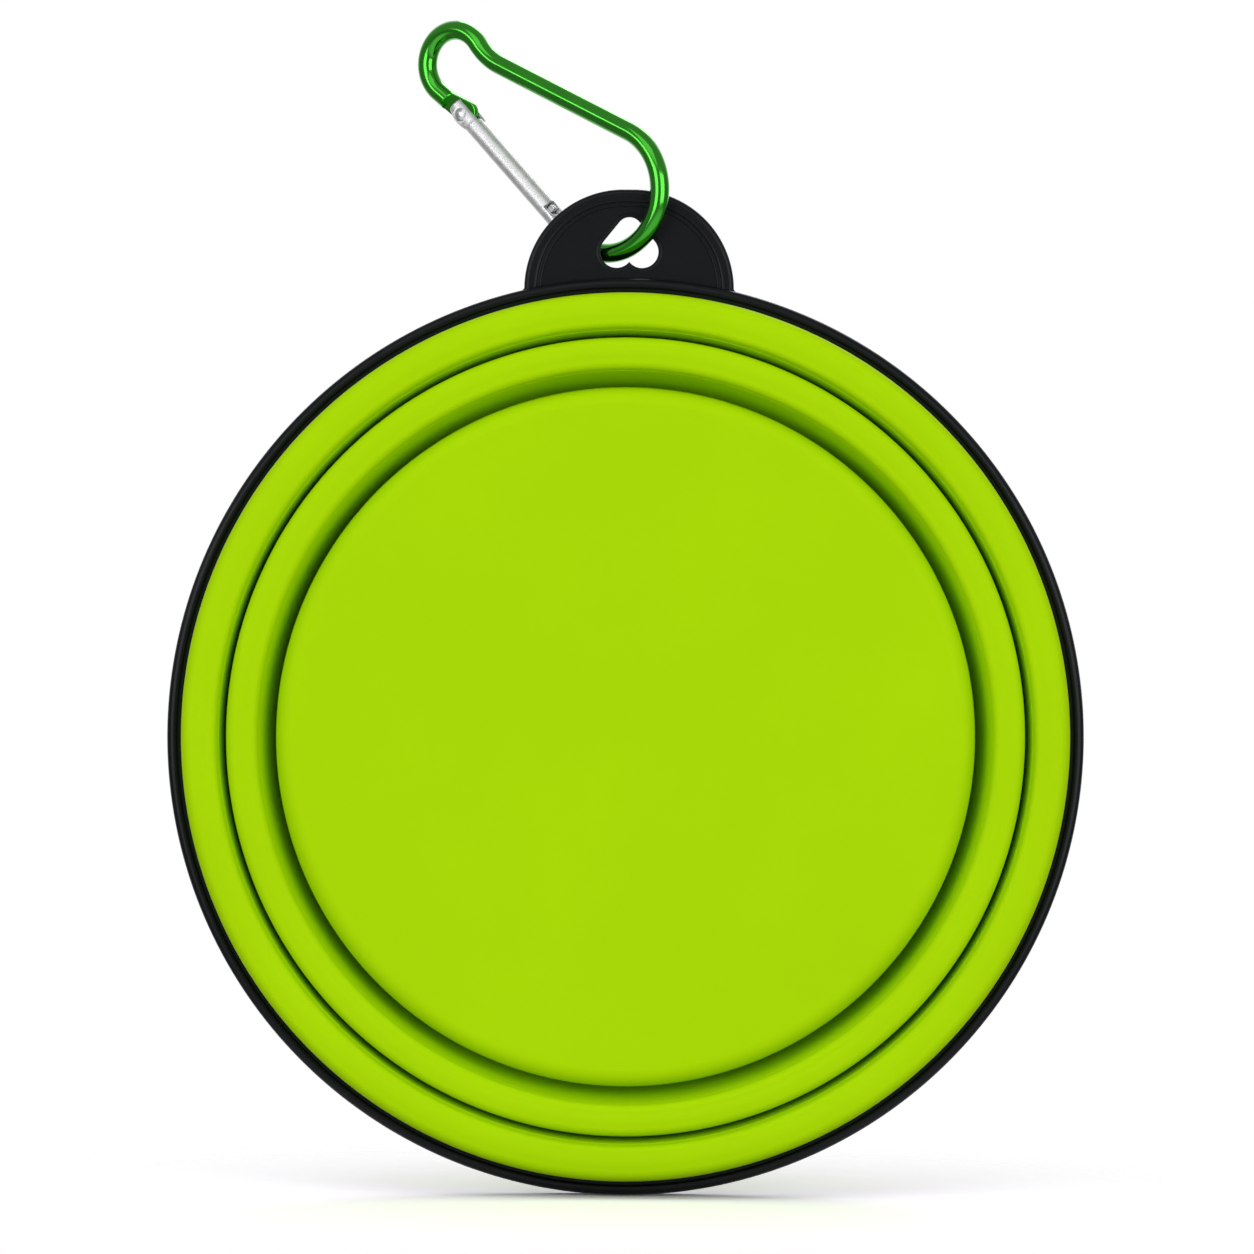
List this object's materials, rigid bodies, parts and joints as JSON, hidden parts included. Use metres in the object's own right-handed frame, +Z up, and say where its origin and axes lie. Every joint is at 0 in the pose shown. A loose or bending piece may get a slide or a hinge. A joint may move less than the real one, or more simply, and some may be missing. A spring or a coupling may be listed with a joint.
{
  "type": "collapsible pet bowl with clip",
  "caption": "Round silicone pet bowl folded flat in nesting tiers, with a rigid rim, a tab with a heart-shaped hole and a wire clip with a sprung gate.",
  "frame": {"origin": "centre of the base's flat outer face", "axes": "+Y along the bowl's axis from the base to the mouth, +Z up from the bowl's middle to the tab, +X to the right seen from the base's side"},
  "size_m": [0.18, 0.043, 0.231],
  "materials": {
    "rim": "satin",
    "silicone": "satin",
    "clip": "green anodised, bright",
    "gate": "bright",
    "steel": "polished"
  },
  "bodies": {
    "rim": {"rim_ring": "rim", "upper_tier": "silicone", "upper_fold": "silicone"},
    "middle": {"middle_tier": "silicone", "lower_fold": "silicone"},
    "base": {"base_tier": "silicone"},
    "clip": {"clip_frame": "clip"},
    "gate_body": {"gate": "gate", "pivot_rivet": "steel", "latch_pin": "steel", "gate_spring": "steel"},
    "plunger": {"gate_plunger": "steel"}
  },
  "joints": [
    {"name": "upper_fold_slide", "type": "slide", "parent": "rim", "child": "middle", "axis": [0, -1, 0], "range_m": [0, 0.022], "deforming": ["upper_fold"]},
    {"name": "lower_fold_slide", "type": "slide", "parent": "middle", "child": "base", "axis": [0, -1, 0], "range_m": [0, 0.022], "deforming": ["lower_fold"]},
    {"name": "clip_swing", "type": "hinge", "parent": "rim", "child": "clip", "pos_m": [0, 0.013, 0.096], "axis": [0, 0, -1], "range_deg": [0, 110]},
    {"name": "gate_hinge", "type": "hinge", "parent": "clip", "child": "gate_body", "pos_m": [-0.03259, 0.03582, 0.12234], "axis": [-0.5736, -0.8192, 0], "range_deg": [0, 30], "stiffness_Nm_per_rad": 0.02, "springref_deg": -28.65},
    {"name": "plunger_slide", "type": "slide", "parent": "gate_body", "child": "plunger", "axis": [0.5991, -0.4195, -0.682], "range_m": [0, 0.00045], "deforming": ["gate_spring"]}
  ],
  "couplings": [
    {"joint": "plunger_slide", "follows": "gate_hinge", "m_per_rad": 0.00066845}
  ]
}
